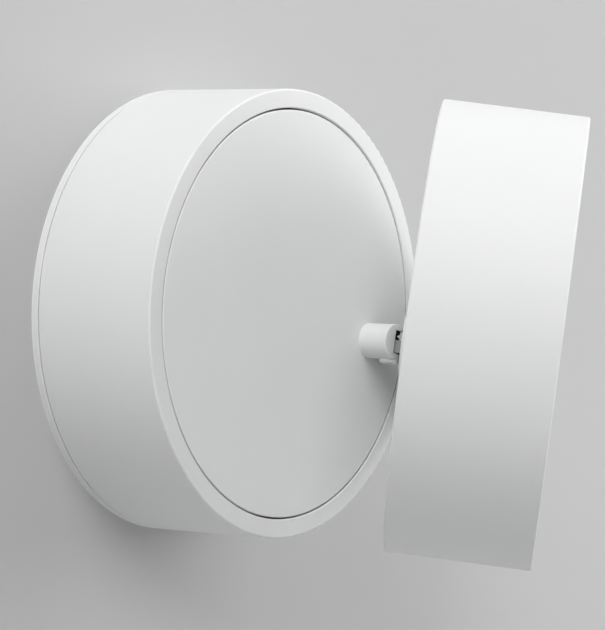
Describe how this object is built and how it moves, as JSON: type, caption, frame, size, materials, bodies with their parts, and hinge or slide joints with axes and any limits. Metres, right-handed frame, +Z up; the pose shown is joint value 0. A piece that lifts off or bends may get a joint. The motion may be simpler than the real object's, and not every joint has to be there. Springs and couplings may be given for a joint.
{
  "type": "pivoting spotlight wall light",
  "caption": "Round drum wall light: a flat drum base on the wall, a disc that swivels in its front, and a drum-shaped lamp head that tilts on a short arm near the disc's edge.",
  "frame": {"origin": "centre of the wall plate's back face, which lies on the wall", "axes": "+X to the right seen from in front of the light, -Y out of the wall, +Z up"},
  "size_m": [0.1468, 0.143, 0.132],
  "materials": {
    "white_cast": "smooth matt white powder coat over cast aluminium",
    "white_steel": "smooth matt white powder coat over sheet steel",
    "white_screw": "matt white painted steel",
    "zinc_steel": "bright zinc plated",
    "dark_steel": "black oxide",
    "bare_aluminium": "bare, finely turned",
    "bright_reflector": "vacuum metallised, bright",
    "brass_clamp": "plated brass",
    "tinned_copper": "tinned",
    "white_plastic": "matt moulded",
    "grey_plastic": "matt moulded",
    "bearing_plastic": "natural low-friction plastic",
    "circuit_board": "solder mask",
    "white_board": "white solder mask on aluminium",
    "ferrite": "dull sintered ferrite",
    "capacitor_sleeve": "shrunk sleeve",
    "phosphor_yellow": "silicone with phosphor",
    "ceramic": "ceramic",
    "opal_lens": "opal diffuser with a satin face",
    "black_rubber": "moulded rubber",
    "grey_rubber": "moulded silicone",
    "brown_lead": "insulation",
    "blue_lead": "insulation",
    "green_yellow_lead": "striped insulation",
    "black_lead": "sheath"
  },
  "bodies": {
    "base": {"wall_plate": "white_steel", "cable_grommet": "black_rubber", "base_housing": "white_cast", "housing_grub_screws": "zinc_steel", "glide_washers": "bearing_plastic", "driver_case": "grey_plastic", "driver_lid": "grey_plastic", "driver_board": "circuit_board", "driver_transformer": "ferrite", "driver_capacitors": "capacitor_sleeve", "driver_screws": "zinc_steel", "terminal_block": "white_plastic", "terminal_clamps": "brass_clamp", "terminal_screws": "zinc_steel", "terminal_fixings": "zinc_steel", "earth_tag": "tinned_copper", "earth_screw": "brass_clamp", "lead_live": "brown_lead", "lead_neutral": "blue_lead", "lead_earth": "green_yellow_lead", "lead_lamp_base": "black_lead"},
    "swivel": {"swivel_disc": "white_cast", "hub_spindle": "bare_aluminium", "spindle_screws": "zinc_steel", "disc_springs": "zinc_steel", "hub_washer": "zinc_steel", "hub_nut": "zinc_steel", "stop_pin": "zinc_steel", "pivot_arm": "white_cast", "arm_washer": "zinc_steel", "arm_nut": "zinc_steel", "pivot_screw": "white_screw", "friction_washer": "bearing_plastic", "tilt_springs": "dark_steel", "lead_lamp_swivel": "black_lead"},
    "head": {"head_housing": "white_cast", "knuckle_tongue": "white_cast", "boss_screws": "zinc_steel", "heat_sink": "bare_aluminium", "heat_sink_screws": "zinc_steel", "led_board": "white_board", "led_emitter": "ceramic", "led_phosphor": "phosphor_yellow", "led_holder": "white_plastic", "holder_screws": "zinc_steel", "reflector": "bright_reflector", "lens_gasket": "grey_rubber", "front_lens": "opal_lens", "lens_bezel": "white_cast", "lead_lamp_head": "black_lead"}
  },
  "joints": [
    {"name": "swivel", "type": "hinge", "parent": "base", "child": "swivel", "pos_m": [0, 0, 0], "axis": [0, -1, 0], "range_deg": [-151.4, 178.6]},
    {"name": "tilt", "type": "hinge", "parent": "swivel", "child": "head", "pos_m": [0.04004, -0.04715, -0.00969], "axis": [0.2351, 0, 0.972], "range_deg": [-32.4, 1.6]}
  ]
}
